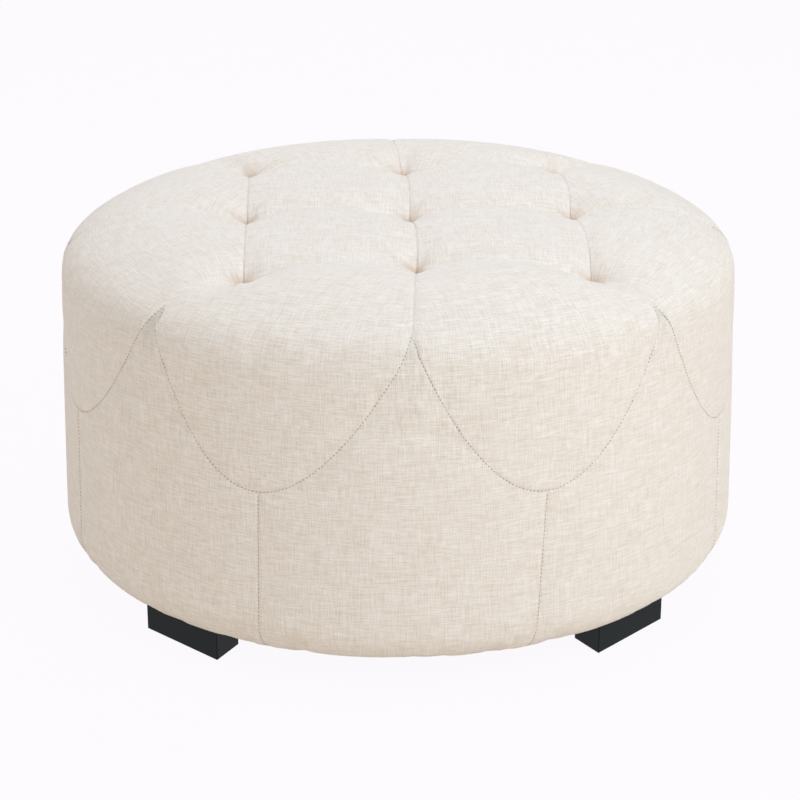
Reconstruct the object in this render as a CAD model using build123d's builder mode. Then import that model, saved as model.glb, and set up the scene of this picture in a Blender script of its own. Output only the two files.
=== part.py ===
from build123d import *
from math import atan, cos, degrees, pi, radians, sin, sqrt, tan
import os

# Round tufted ottoman coffee table.
# Millimetres, +Z up, the origin on the floor under the centre. The front seam of the cover faces -Y.
# The frame is a drum of plywood, posts and hardboard. Foam and loose fibre fill pad it, a sewn linen
# cover goes over all of it, nine cords draw the cover down, and four block feet are screwed below.

# Overall sizes
overall_diameter = 820.0
overall_height = 450.0
side_taper = 7.0
foot_height = 35.0
lower_edge_radius = 48.0

# Sewn cover
cover_thickness = 2.0
seam_gap = 1.0
split_setback = 19.0
split_drop = 33.0
scallop_depth = 177.0
tuck_width = 32.0
prism_reach_share = 1.15

# Tufts, and the crests of the puffs over the seams, as depths below the top
tuft_spacing = 196.0
centre_tuft_depth = 31.0
edge_tuft_depth = 35.0
corner_tuft_depth = 47.0
seam_rise = 18.0
edge_crest_depth = 12.0
corner_crest_depth = 20.0
crest_place_share = 0.42

# Slopes of a petal's bands, as shares of the mean slope beside them
steep_slope_share = 1.25
level_slope_share = 0.3
outer_slope_share = 0.6
shoulder_slope_share = 1.8
inner_softening_share = 0.15
outer_softening_share = 0.3

# Padding
soft_clearance = 0.6
seat_foam_thickness = 45.0
seat_foam_drop = 42.0
foam_joint_gap = 1.0

# Drum frame
deck_thickness = 12.0
base_thickness = 18.0
board_thickness = 3.0
board_joint_gap = 2.0
board_lift = 4.0
frame_clearance = 0.3
post_width = 45.0
post_depth = 25.0

# Feet
foot_width = 120.0
foot_depth = 45.0
foot_overhang = 9.0
foot_side_lean = 14.0
foot_edge_softening = 1.0

# Tuft cords
cord_diameter = 3.0
cord_room_width = 8.0
knot_diameter = 6.0
pad_width = 30.0
pad_thickness = 3.0
knot_height = 5.0

# Screws and the dust cover
screw_diameter = 4.5
screw_head_diameter = 9.0
screw_head_height = 2.6
screw_fit_clearance = 0.05
post_screw_length = 50.0
foot_screw_length = 34.0
foot_screw_spacing = 66.0
counterbore_diameter = 14.0
counterbore_depth = 14.0
dust_cover_thickness = 1.0
dust_cover_margin = 4.0

# Counts and angles
full_turn = 360.0
half_turn = 180.0
sink_angle = 82.0
petal_count = 8
foot_count = 4
small_sides = 6
petal_strips = 8
square_strips = 6
rim_chords = 3
lower_edge_chords = 4
petal_angle = full_turn / petal_count
foot_angle = full_turn / foot_count
half_petal = radians(petal_angle) / 2
quarter_turn = pi / 2
stand_up = (Align.CENTER, Align.CENTER, Align.MIN)

# Sizes worked out from the ones above
low_radius = overall_diameter / 2
rim_radius = low_radius - side_taper
under_height = foot_height + dust_cover_thickness
base_bottom = under_height + cover_thickness
base_top = base_bottom + base_thickness
lower_round_height = under_height + lower_edge_radius
fill_inset = cover_thickness + soft_clearance
seam_angle = seam_gap / rim_radius
tuck_radius = low_radius - lower_edge_radius
tuck_end_radius = tuck_radius - tuck_width
half_strip = half_petal / petal_strips
frame_radius = tuck_radius * cos(half_strip) - frame_clearance
board_inner_radius = frame_radius + frame_clearance
board_outer_radius = board_inner_radius + board_thickness
foam_inner_radius = board_outer_radius / cos(half_strip) + frame_clearance
split_radius = rim_radius - split_setback
split_height = overall_height - split_drop
scallop_low_height = split_height - scallop_depth
half_split_width = split_radius * sin(half_petal)
seat_top = split_height - seat_foam_drop
deck_top = seat_top - seat_foam_thickness
deck_bottom = deck_top - deck_thickness
petal_foot = scallop_low_height - tuck_width
seam_drop = 2 * seam_gap
sink_height = (screw_head_diameter - screw_diameter) / 2 / tan(radians(sink_angle / 2))
dust_cover_radius = tuck_radius - dust_cover_margin
foot_face = tuck_radius + foot_overhang
foot_screw_radius = foot_face - foot_depth / 2
centre_tuft_height = overall_height - centre_tuft_depth
edge_tuft_height = overall_height - edge_tuft_depth
corner_tuft_height = overall_height - corner_tuft_depth
tuft_heights = (centre_tuft_height, edge_tuft_height, corner_tuft_height)
tufts = [
    (column * tuft_spacing, row * tuft_spacing, tuft_heights[abs(column) + abs(row)])
    for row in (-1, 0, 1)
    for column in (-1, 0, 1)
]


def hump(place):
    """A smooth rise from 0 at both ends of a seam to 1 halfway along it."""
    return 4 * place * (1 - place)


def between(first, last, place):
    """A value part of the way from first to last."""
    return first + (last - first) * place


def faceted_solid(sections):
    """A solid of flat facets, drawn from each closed section to the next and capped at both ends."""
    faces = [Face(Wire.make_polygon(section)) for section in (sections[0], sections[-1])]
    for near, far in zip(sections, sections[1:]):
        for index, corner in enumerate(near):
            facet = (near[index - 1], corner, far[index], far[index - 1])
            faces.append(Face(Wire.make_polygon(facet)))
    return Solid(Shell(faces))


def upright_section(angle, outline):
    """The points of an outline, radius and height, in the upright plane at an angle."""
    return [(radius * cos(angle), radius * sin(angle), height) for radius, height in outline]


def upright_plane(angle):
    """The upright plane through the centre line, facing across the given direction."""
    return Plane(
        origin=(0, 0, 0),
        x_dir=(cos(angle), sin(angle), 0),
        z_dir=(sin(angle), -cos(angle), 0),
    )


def seam_and_crest(angle):
    """The seam and the crest of a petal in one upright plane, each as a radius and a height.

    The angle is counted from an edge tuft, at 0, to a corner tuft, at half a right angle.
    """
    place = tan(angle)
    seam_height = between(edge_tuft_height, corner_tuft_height, place) + seam_rise * hump(place)
    seam_radius = tuft_spacing / cos(angle) + seam_gap / 2
    middle_place = tan(half_petal)
    middle_rise = between(edge_crest_depth, corner_crest_depth, middle_place)
    crest_depth = between(edge_crest_depth, corner_crest_depth, place)
    crest_rise = middle_rise * hump(place) / hump(middle_place)
    crest_radius = between(seam_radius, split_radius, crest_place_share)
    return (seam_radius, seam_height), (crest_radius, overall_height - crest_depth + crest_rise)


def slope_between(first, last):
    """The slope from one point to another, each a radius and a height."""
    return (last[1] - first[1]) / (last[0] - first[0])


def meeting_point(first_height, first_point, last_height, last_point):
    """Where two lines cross, each from a height on the centre line through a point."""
    first_slope = slope_between((0, first_height), first_point)
    last_slope = slope_between((0, last_height), last_point)
    radius = (last_height - first_height) / (first_slope - last_slope)
    return radius, first_height + first_slope * radius


# The facets of a petal are flat, because every band of the crown points at one height on the
# centre line. These are the heights: beside the seam, at the crest, outside it and at the shoulder.
split_point = (split_radius, split_height)
edge_seam, edge_crest = seam_and_crest(0)
middle_crest = seam_and_crest(half_petal)[1]
corner_seam, corner_crest = seam_and_crest(2 * half_petal)
steep_slope = steep_slope_share * slope_between(corner_seam, corner_crest)
steep_height = corner_seam[1] - steep_slope * corner_seam[0]
level_slope = level_slope_share * slope_between(edge_seam, edge_crest)
level_height = edge_crest[1] - level_slope * edge_crest[0]
outer_slope = outer_slope_share * slope_between(edge_crest, split_point)
outer_height = edge_crest[1] - outer_slope * edge_crest[0]
shoulder_slope = shoulder_slope_share * slope_between(middle_crest, split_point)
shoulder_height = split_height - shoulder_slope * split_radius


def rim_points(inset):
    """The chords of the round rim, from the shoulder to the side, drawn in by inset."""
    first_radius = split_radius - inset / 2
    first_height = shoulder_height + shoulder_slope * first_radius - inset
    width = rim_radius - inset - first_radius
    drop = width * tan((quarter_turn - atan(shoulder_slope)) / 2)
    arc = TangentArc(
        (first_radius, first_height),
        (rim_radius - inset, first_height - drop),
        tangent=(1, shoulder_slope),
        mode=Mode.PRIVATE,
    )
    points = [arc @ (step / rim_chords) for step in range(rim_chords + 1)]
    return [(point.X, point.Y) for point in points]


def crown_points(angle, inset):
    """The bands of a petal's crown in one upright plane, from its seam to just above its shoulder."""
    seam, crest = seam_and_crest(angle)
    ridge = meeting_point(steep_height, seam, level_height, crest)
    inner_end = tuple(between(a, b, inner_softening_share) for a, b in zip(ridge, crest))
    inner_middle = (steep_height + level_height) / 2
    inner_start = meeting_point(steep_height, seam, inner_middle, inner_end)
    edge = meeting_point(outer_height, crest, shoulder_height, split_point)
    outer_end = tuple(between(a, b, outer_softening_share) for a, b in zip(edge, split_point))
    outer_middle = (outer_height + shoulder_height) / 2
    outer_start = meeting_point(outer_height, crest, outer_middle, outer_end)
    bands = (seam, inner_start, inner_end, crest, outer_start, outer_end)
    return [(radius, height - inset) for radius, height in bands]


def side_radius(height, inset):
    """Radius of the slightly flared side at a height, drawn in by inset."""
    rim_height = rim_points(0)[-1][1]
    place = (rim_height - height) / (rim_height - lower_round_height)
    return between(rim_radius, low_radius, place) - inset


def petal_outline(angle, inset, foot):
    """The points of a petal from its seam over the crown and rim, down to the foot height."""
    side_foot = (side_radius(foot, inset), foot)
    return [*crown_points(angle, inset), *rim_points(inset), side_foot]


def lower_edge_points(radius, height, end, edge_radius):
    """The chords of the round lower edge, from a radius and height on the side to its end."""
    arc = RadiusArc((radius, height), end, edge_radius, mode=Mode.PRIVATE)
    points = [arc @ (step / lower_edge_chords) for step in range(lower_edge_chords + 1)]
    return [(point.X, point.Y) for point in points]


def scallop_prism(turn, lift):
    """A prism round one petal: everything above its parabola, seen from the petal's front."""
    reach = half_split_width * prism_reach_share
    drop = (split_height - scallop_low_height) * prism_reach_share**2
    low = scallop_low_height + lift
    facing = Plane(
        origin=(0, 0, 0),
        x_dir=(-sin(turn), cos(turn), 0),
        z_dir=(cos(turn), sin(turn), 0),
    )
    with BuildPart(mode=Mode.PRIVATE) as prism:
        with BuildSketch(facing):
            with BuildLine():
                Bezier((-reach, low + drop), (0, low - drop), (reach, low + drop))
                Polyline(
                    (reach, low + drop),
                    (reach, low + 2 * drop),
                    (-reach, low + 2 * drop),
                    (-reach, low + drop),
                )
            make_face()
        extrude(amount=overall_diameter)
    return prism.part


def side_outline(inset):
    """The points of a side panel from the shoulder down to its tuck under the base."""
    tuck_height = under_height + inset
    low_radius_here = low_radius - inset
    tuck = (tuck_radius, tuck_height)
    edge = lower_edge_points(low_radius_here, lower_round_height, tuck, lower_edge_radius - inset)
    return [*rim_points(inset), *edge, (tuck_end_radius, tuck_height)]


def square_outline(x, inset):
    """The points of a square panel from one seam to the next, in the upright plane at x."""
    place = x / tuft_spacing
    near_height = between(centre_tuft_height, edge_tuft_height, place)
    far_height = between(edge_tuft_height, corner_tuft_height, place)
    points = []
    for y in square_places():
        across = y / tuft_spacing
        rise = seam_rise * (hump(place) + hump(across))
        points.append((y, between(near_height, far_height, across) + rise - inset))
    return points


def square_places():
    """Places of the facet edges across one square, half a seam gap inside its two seams."""
    near, far = seam_gap / 2, tuft_spacing - seam_gap / 2
    return [between(near, far, step / square_strips) for step in range(square_strips + 1)]


def panel_angles(first_seam):
    """Directions of the facet edges across one panel, half a seam gap inside its two seams."""
    first, last = first_seam + seam_angle / 2, first_seam + 2 * half_petal - seam_angle / 2
    return [between(first, last, step / petal_strips) for step in range(petal_strips + 1)]


def foot_screw(clearance):
    """A flat-headed screw on the counterbore's floor, or the room that it needs, with six flats."""
    with BuildPart(mode=Mode.PRIVATE) as screw:
        with BuildSketch(Plane.XY.offset(counterbore_depth)):
            RegularPolygon(screw_diameter / 2 + clearance, small_sides)
        extrude(amount=foot_screw_length)
        with BuildSketch(Plane.XY.offset(counterbore_depth - screw_head_height)):
            RegularPolygon(screw_head_diameter / 2 + clearance, small_sides)
        extrude(amount=screw_head_height)
    return screw.part


def frame_screw(clearance):
    """A countersunk screw that stands on its head, or the room that it needs, with six flats."""
    with BuildPart(mode=Mode.PRIVATE) as screw:
        with BuildSketch():
            RegularPolygon(screw_head_diameter / 2 + clearance, small_sides)
        with BuildSketch(Plane.XY.offset(sink_height)):
            RegularPolygon(screw_diameter / 2 + clearance, small_sides)
        loft(ruled=True)
        with BuildSketch(Plane.XY.offset(sink_height)):
            RegularPolygon(screw_diameter / 2 + clearance, small_sides)
        extrude(amount=post_screw_length - sink_height)
    return screw.part


def cord_room(low, high):
    """The upright holes for the tuft cords between two heights."""
    with BuildPart(mode=Mode.PRIVATE) as room:
        with BuildSketch(Plane.XY.offset(low)):
            with Locations(*[(x, y) for x, y, height in tufts]):
                Rectangle(cord_room_width, cord_room_width)
        extrude(amount=high - low)
    return room.part


def save(part, label):
    """Names a finished piece and writes it to its own file."""
    part.label = label
    export_step(part, f"parts/{label}.step")


os.makedirs("parts", exist_ok=True)

# Cover: four square top panels, each lofted from strips that bulge between its four tufts
with BuildPart() as square_panel:
    for x in square_places():
        with BuildSketch(Plane(origin=(x, 0, 0), x_dir=(0, 1, 0), z_dir=(1, 0, 0))):
            with BuildLine():
                under_side = square_outline(x, cover_thickness)
                Polyline(*square_outline(x, 0), *reversed(under_side), close=True)
            make_face()
    loft(ruled=True)

corner_names = ("back_right", "back_left", "front_left", "front_right")
for quarter, name in enumerate(corner_names):
    save(square_panel.part.rotate(Axis.Z, quarter * foot_angle), f"top_panel_{name}")

# Cover: eight petals, faceted from seam to seam and then cut to their scalloped lower edge
petal_sections = []
for angle in panel_angles(0):
    outer_line = petal_outline(angle, 0, petal_foot)
    inner_line = petal_outline(angle, cover_thickness, petal_foot)
    petal_sections.append(upright_section(angle, [*outer_line, *reversed(inner_line)]))
with BuildPart() as petal:
    add(faceted_solid(petal_sections))
    add(scallop_prism(half_petal, 0), mode=Mode.INTERSECT)

# A petal and its mirror image fill each right angle, so every edge tuft lies between a pair
mirrored_petal = mirror(petal.part, about=Plane.XZ, mode=Mode.PRIVATE)
petal_names = ("right_back", "back_right", "back_left", "left_back")
petal_names += ("left_front", "front_left", "front_right", "right_front")
for index, name in enumerate(petal_names):
    quarter = index // 2
    if index % 2 == 0:
        save(petal.part.rotate(Axis.Z, quarter * foot_angle), f"petal_{name}")
    else:
        save(mirrored_petal.rotate(Axis.Z, (quarter + 1) * foot_angle), f"petal_{name}")

# Feet: blocks with upright sides that lean together inwards, counterbored for two screws each
foot_inner_width = foot_width - 2 * foot_depth * tan(radians(foot_side_lean))
foot_screw_offsets = [(foot_screw_radius, side * foot_screw_spacing / 2) for side in (-1, 1)]
with BuildPart() as foot:
    with BuildSketch():
        with BuildLine():
            Polyline(
                (foot_face, -foot_width / 2),
                (foot_face, foot_width / 2),
                (foot_face - foot_depth, foot_inner_width / 2),
                (foot_face - foot_depth, -foot_inner_width / 2),
                close=True,
            )
        make_face()
    extrude(amount=foot_height)
    chamfer(foot.edges().filter_by(Axis.Z), length=foot_edge_softening)
    chamfer(foot.faces().sort_by(Axis.Z)[0].outer_wire().edges(), length=foot_edge_softening)
    with BuildSketch():
        with Locations(*foot_screw_offsets):
            RegularPolygon(counterbore_diameter / 2, small_sides)
    extrude(amount=counterbore_depth, mode=Mode.SUBTRACT)
    with Locations(*foot_screw_offsets):
        add(foot_screw(screw_fit_clearance), mode=Mode.SUBTRACT)
for quarter, name in enumerate(corner_names):
    save(foot.part.rotate(Axis.Z, (quarter + 1 / 2) * foot_angle), f"foot_{name}")

# Screws that hold the feet, heads down in the counterbores
foot_screw_places = [
    Location((0, 0, 0), (0, 0, (quarter + 1 / 2) * foot_angle)) * Location((x, y, 0))
    for quarter in range(foot_count)
    for x, y in foot_screw_offsets
]
with BuildPart() as foot_screws:
    with Locations(*foot_screw_places):
        add(foot_screw(0))
save(foot_screws.part, "foot_screws")

# Cover: eight side panels, each with its peak at a split between petals and its tuck under the base
side_loop = [*side_outline(0), *reversed(side_outline(cover_thickness))]
with BuildPart() as side_panel:
    add(faceted_solid([upright_section(angle, side_loop) for angle in panel_angles(-half_petal)]))
    for side in (-1, 1):
        add(scallop_prism(side * half_petal, -seam_drop), mode=Mode.SUBTRACT)

side_names = ("right", "back_right", "back", "back_left", "left", "front_left", "front", "front_right")
for index, name in enumerate(side_names):
    with BuildPart() as pierced_panel:
        add(side_panel.part.rotate(Axis.Z, index * petal_angle))
        with Locations(*foot_screw_places):
            add(foot_screw(screw_fit_clearance), mode=Mode.SUBTRACT)
    save(pierced_panel.part, f"side_panel_{name}")

# Dust cover: one disc of black cloth under the base, let in under the feet
with BuildPart() as dust_cover:
    with BuildSketch(Plane.XY.offset(foot_height)):
        Circle(dust_cover_radius)
    extrude(amount=dust_cover_thickness)
    with Locations(*foot_screw_places):
        add(foot_screw(screw_fit_clearance), mode=Mode.SUBTRACT)
save(dust_cover.part, "dust_cover")

# Frame: a post above each foot, between the base and the deck, its edges against the side boards
post_face = sqrt(frame_radius**2 - (post_width / 2) ** 2)
post_centre = post_face - post_depth / 2
post_turns = [(quarter + 1 / 2) * foot_angle for quarter in range(foot_count)]
base_screw_place = Location((post_centre, 0, base_bottom))
deck_screw_place = Location((post_centre, 0, deck_top), (half_turn, 0, 0))
frame_screw_places = [
    Location((0, 0, 0), (0, 0, turn)) * place
    for turn in post_turns
    for place in (base_screw_place, deck_screw_place)
]
with BuildPart() as post:
    with Locations((post_centre, 0, base_top)):
        Box(post_depth, post_width, deck_bottom - base_top, align=stand_up)
    with Locations(base_screw_place, deck_screw_place):
        add(frame_screw(screw_fit_clearance), mode=Mode.SUBTRACT)
for turn, name in zip(post_turns, corner_names):
    save(post.part.rotate(Axis.Z, turn), f"post_{name}")

# Frame: the base board, with countersunk holes for the posts and pilot holes for the feet
with BuildPart() as base_board:
    with BuildSketch(Plane.XY.offset(base_bottom)):
        Circle(frame_radius)
    extrude(amount=base_thickness)
    with Locations(*frame_screw_places):
        add(frame_screw(screw_fit_clearance), mode=Mode.SUBTRACT)
    with Locations(*foot_screw_places):
        add(foot_screw(screw_fit_clearance), mode=Mode.SUBTRACT)
save(base_board.part, "base_board")

# Frame: the deck under the seat foam, with a hole for each tuft cord
with BuildPart() as deck:
    with BuildSketch(Plane.XY.offset(deck_bottom)):
        Circle(frame_radius)
    extrude(amount=deck_thickness)
    add(cord_room(deck_bottom, deck_top), mode=Mode.SUBTRACT)
    with Locations(*frame_screw_places):
        add(frame_screw(screw_fit_clearance), mode=Mode.SUBTRACT)
save(deck.part, "deck")

# Frame: screws through the base and the deck into the ends of the posts
with BuildPart() as frame_screws:
    with Locations(*frame_screw_places):
        add(frame_screw(0))
save(frame_screws.part, "frame_screws")

# Frame: thin bent boards that close the drum and meet on the posts
board_gap_angle = board_joint_gap / board_inner_radius
with BuildPart() as side_board:
    with BuildSketch(upright_plane(quarter_turn / 2 + board_gap_angle / 2)):
        with Locations((board_inner_radius, base_bottom + board_lift)):
            Rectangle(
                board_thickness,
                deck_top - base_bottom - board_lift,
                align=(Align.MIN, Align.MIN),
            )
    revolve(axis=Axis.Z, revolution_arc=foot_angle - degrees(board_gap_angle))
for index, name in enumerate(("back", "left", "front", "right")):
    save(side_board.part.rotate(Axis.Z, index * foot_angle), f"side_board_{name}")

# Padding: a firm foam slab on the deck, as wide as the drum and its side foam
with BuildPart() as seat_foam:
    with BuildSketch(Plane.XZ):
        with BuildLine():
            Polyline(
                (0, deck_top),
                (side_radius(deck_top, fill_inset), deck_top),
                (side_radius(seat_top, fill_inset), seat_top),
                (0, seat_top),
                close=True,
            )
        make_face()
    revolve(axis=Axis.Z)
    add(cord_room(deck_top, seat_top), mode=Mode.SUBTRACT)
save(seat_foam.part, "seat_foam")

# Padding: one foam strip round the side boards, with its ends butted at the back
strip_gap_angle = foam_joint_gap / foam_inner_radius
strip_round = lower_edge_radius - fill_inset
strip_foot = lower_round_height - sqrt(strip_round**2 - (foam_inner_radius - tuck_radius) ** 2)
strip_loop = [
    (foam_inner_radius, deck_top),
    (side_radius(deck_top, fill_inset), deck_top),
    *lower_edge_points(
        low_radius - fill_inset, lower_round_height, (foam_inner_radius, strip_foot), strip_round
    ),
]
strip_start = quarter_turn + strip_gap_angle / 2
strip_end = quarter_turn + 2 * pi - strip_gap_angle / 2
strip_count = petal_count * petal_strips
strip_angles = [between(strip_start, strip_end, step / strip_count) for step in range(strip_count + 1)]
with BuildPart() as side_foam:
    add(faceted_solid([upright_section(angle, strip_loop) for angle in strip_angles]))
save(side_foam.part, "side_foam")

# Padding: loose fibre fill under each square panel, pierced at the tufts
with BuildPart() as square_fill:
    for x in square_places():
        with BuildSketch(Plane(origin=(x, 0, 0), x_dir=(0, 1, 0), z_dir=(1, 0, 0))):
            with BuildLine():
                fill_line = square_outline(x, fill_inset)
                near, far = fill_line[0][0], fill_line[-1][0]
                Polyline(*fill_line, (far, seat_top), (near, seat_top), close=True)
            make_face()
    loft(ruled=True)
    add(cord_room(seat_top, overall_height), mode=Mode.SUBTRACT)
with BuildPart() as top_fill:
    for quarter in range(foot_count):
        add(square_fill.part.rotate(Axis.Z, quarter * foot_angle))
save(top_fill.part, "top_fill")

# Padding: loose fibre fill under each petal, which rounds the crown over the rim
fill_sections = []
for angle in panel_angles(0):
    fill_line = petal_outline(angle, fill_inset, seat_top)
    fill_sections.append(upright_section(angle, [*fill_line, (fill_line[0][0], seat_top)]))
with BuildPart() as petal_fill_piece:
    add(faceted_solid(fill_sections))
    add(cord_room(seat_top, overall_height), mode=Mode.SUBTRACT)
mirrored_fill = mirror(petal_fill_piece.part, about=Plane.XZ, mode=Mode.PRIVATE)
with BuildPart() as petal_fill:
    for quarter in range(foot_count):
        add(petal_fill_piece.part.rotate(Axis.Z, quarter * foot_angle))
        add(mirrored_fill.rotate(Axis.Z, quarter * foot_angle))
save(petal_fill.part, "petal_fill")

# Tufts: a cord down through the padding and the deck at each tuft, knotted under the cover and
# under a square pad below the deck, and drawn here with six flats
pad_bottom = deck_bottom - pad_thickness
with BuildPart() as tuft_cords:
    for x, y, height in tufts:
        top = height - fill_inset
        cord_runs = (
            (pad_bottom, top, cord_diameter),
            (top - knot_height, top, knot_diameter),
            (pad_bottom - knot_height, pad_bottom, knot_diameter),
        )
        for low, high, width in cord_runs:
            with BuildSketch(Plane.XY.offset(low)):
                with Locations((x, y)):
                    RegularPolygon(width / 2, small_sides)
            extrude(amount=high - low)
save(tuft_cords.part, "tuft_cords")

with BuildPart() as tuft_pads:
    with BuildSketch(Plane.XY.offset(pad_bottom)):
        with Locations(*[(x, y) for x, y, height in tufts]):
            Rectangle(pad_width, pad_width)
            RegularPolygon(cord_diameter / 2 + screw_fit_clearance, small_sides, mode=Mode.SUBTRACT)
    extrude(amount=pad_thickness)
save(tuft_pads.part, "tuft_pads")
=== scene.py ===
# %% [markdown]
# # A round tufted ottoman in slub linen
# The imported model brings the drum, the boards, the screws and the feet at their real sizes. Cloth
# and stuffing are what it can't show, so this lesson keeps the hard parts, gives each its finish,
# and sews, stuffs and stitches the soft ones again in the same places.

# %% Load the frame
from math import atan2, cos, hypot, pi, radians, sin, tau

import bmesh
import bpy
import numpy as np
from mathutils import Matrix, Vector
from mathutils.kdtree import KDTree


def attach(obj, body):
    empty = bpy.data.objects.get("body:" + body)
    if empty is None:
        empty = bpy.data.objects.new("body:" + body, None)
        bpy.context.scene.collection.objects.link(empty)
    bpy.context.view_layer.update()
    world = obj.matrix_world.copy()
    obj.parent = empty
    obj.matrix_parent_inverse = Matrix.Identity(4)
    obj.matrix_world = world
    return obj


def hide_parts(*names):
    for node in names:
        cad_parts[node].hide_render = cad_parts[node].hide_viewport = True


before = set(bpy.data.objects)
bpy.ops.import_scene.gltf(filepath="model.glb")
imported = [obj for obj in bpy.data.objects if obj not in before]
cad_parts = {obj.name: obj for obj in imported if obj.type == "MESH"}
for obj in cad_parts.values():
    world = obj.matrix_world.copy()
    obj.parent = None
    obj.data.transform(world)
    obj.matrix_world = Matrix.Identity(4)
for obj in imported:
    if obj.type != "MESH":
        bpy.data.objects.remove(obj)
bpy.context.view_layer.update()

# %% [markdown]
# ## The camera
# A product photograph like this is taken from far away with a long lens, so that the drum doesn't
# look distorted. The lens, distance and height below come from fitting the outline, the tufts and
# the feet. The ottoman is turned by a little over two degrees, and here the camera goes round it
# instead.

# %% Camera
view_distance = 2.987
view_height = radians(21.7)
view_turn = radians(2.25)
aim = Vector((0, 0, 0.198))


def linked(name, data):
    """An object with this data, in the scene."""
    thing = bpy.data.objects.new(name, data)
    bpy.context.scene.collection.objects.link(thing)
    return thing


lens = bpy.data.cameras.new("studio_camera")
lens.lens = 108.4
lens.shift_x = 0.0024
camera = linked("studio_camera", lens)
level_part = cos(view_height)
towards = Vector((-sin(view_turn) * level_part, -cos(view_turn) * level_part, sin(view_height)))
camera.location = aim + view_distance * towards
camera.rotation_euler = (-towards).to_track_quat("-Z", "Y").to_euler()
bpy.context.scene.camera = camera
print("camera at", [round(v, 3) for v in camera.location])

# %% [markdown]
# ## The crown and its nine tufts
# An upholsterer lays loose fibre on the seat foam and pulls the cover down at nine points.
# Between the tufts the crown stays nearly level, and near them it falls away steeply, more so
# across the puffs than along the seams, where the cloth is folded. All lengths in these cells are
# millimetres.

# %% Sizes of the cover
spacing = 196
tuft_shift, tuft_lag = 14, 8
front_lags = {(-1, -1): -16, (0, -1): 14, (1, -1): -18}
split_radius, split_height = 384, 417
crown_top = 449
level_radius = 230
crown_power = 2.7
tuft_ring = [(1, 0), (1, 1), (0, 1), (-1, 1), (-1, 0), (-1, -1), (0, -1), (1, -1)]


def tuft_place(column, row):
    """Where a tuft is tied, in plan. It was done by hand, so the rows are not straight."""
    lag = front_lags.get((column, row), tuft_lag)
    return np.array([tuft_shift + spacing * column, lag + spacing * row], float)


def seams_at(column, row):
    """Directions of the seams that leave a tuft: to its neighbours, and out to the rim."""
    found = []
    for dx, dy in ((1, 0), (0, 1), (-1, 0), (0, -1)):
        if abs(column + dx) <= 1 and abs(row + dy) <= 1:
            found.append(atan2(dy, dx))
    if (column, row) != (0, 0):
        found.append(atan2(row, column))
    return found


tufts = [(tuft_place(c, r), seams_at(c, r)) for c in (-1, 0, 1) for r in (-1, 0, 1)]
print("tufts:", len(tufts), "seams at each:", [len(seams) for _, seams in tufts])

# %% Height of the crown
fold_depth = 25
fold_reach = 46
fold_power = 1.3
pinch_depth = 3
pinch_reach = 8
puff_fullness = 0.42
rim_fade = 60


def plain_crown(radius):
    """Height of the crown at a distance from the centre line, without tufts."""
    beyond = np.maximum(radius - level_radius, 0) / (split_radius - level_radius)
    return crown_top - (crown_top - split_height) * beyond**crown_power


def crown_height(x, y):
    """Height of the cover over a point of the crown, tufts included."""
    height = plain_crown(np.hypot(x, y))
    inside = np.clip((split_radius - np.hypot(x, y)) / rim_fade, 0, 1)
    for place, seams in tufts:
        dx, dy = x - place[0], y - place[1]
        distance, direction = np.hypot(dx, dy), np.arctan2(dy, dx)
        apart = np.min([np.abs((direction - seam + pi) % tau - pi) for seam in seams], axis=0)
        reach = fold_reach * (1 - puff_fullness * np.sin(2 * np.minimum(apart, pi / 4)) ** 2)
        fold = fold_depth * np.exp(-((distance / reach) ** fold_power))
        height = height - inside * (fold + pinch_depth * np.exp(-distance / pinch_reach))
    return height


def nearest_tuft(cloth):
    """How far, in plan, each point of a grid is from a tuft."""
    away = [np.hypot(cloth[..., 0] - place[0], cloth[..., 1] - place[1]) for place, _ in tufts]
    return np.min(away, axis=0)


centre_tuft = tuft_place(0, 0)
print("height of a centre puff:", round(float(crown_height(*(centre_tuft + spacing / 2))), 1))
print("height of the centre tuft:", round(float(crown_height(*centre_tuft)), 1))

# %% [markdown]
# ## The rim and the side
# Below the shoulder the drum is round, so one outline of radius and height gives it all: a small
# round at the rim, a side that flares by a few millimetres, a large round at the foot and the
# tuck under the base. It is kept as points with their distance along the cloth, because rows of
# thread follow that.

# %% Outline of the side
rim_radius, low_radius = 403, 410
rim_round, rim_height, shoulder = 39.05, 383.5, radians(59.1)
edge_round, edge_height = 48, 84
tuck_radius, tuck_height = 330, 36


def arc(radius, height, bend, start, end, parts):
    """Points of radius and height on a bend with its centre at a radius and height."""
    turns = np.linspace(start, end, parts)
    return [(radius + bend * cos(turn), height + bend * sin(turn)) for turn in turns]


def running_length(points):
    """Distance along a line of points, from its first point."""
    return np.concatenate([[0], np.cumsum(np.linalg.norm(np.diff(points, axis=0), axis=1))])


outline = [(radius, plain_crown(radius)) for radius in range(360, split_radius, 4)]
crown_points = len(outline) + 1
outline += arc(rim_radius - rim_round, rim_height, rim_round, shoulder, 0, 24)
outline += arc(low_radius - edge_round, edge_height, edge_round, 0, -pi / 2, 24)
outline += [(tuck_radius, tuck_height)]
outline_radius, outline_height = np.array(outline).T
outline_run = running_length(np.array(outline))
outline_run -= np.interp(split_radius, outline_radius[:crown_points], outline_run[:crown_points])
print("cloth from the shoulder to the end of the tuck:", round(outline_run[-1]), "mm")

# %% Scalloped seam between petals and side
half_petal = radians(22.5)
low_place = [radians(-a) for a in (1.5, 1.2, 1.8, 1.4, 2.2, 1.8, 1.1, 1.5)]
low_height = [240, 241, 239, 240, 250, 240, 240, 240]
split_inset = [3, 0, 2, 0, 4, 7, 7, 0]
curve_power = [(2, 2), (2, 1.9), (2.1, 2), (2, 2), (2, 1.9), (2.2, 1.8), (2, 2), (2, 2)]


def petal_angle(index, u):
    """Direction from the petal's middle. The lowest point, at half of u, is a little off it."""
    low = low_place[index]
    return low + (2 * u - 1) * (half_petal + low if u < 0.5 else half_petal - low)


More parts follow.
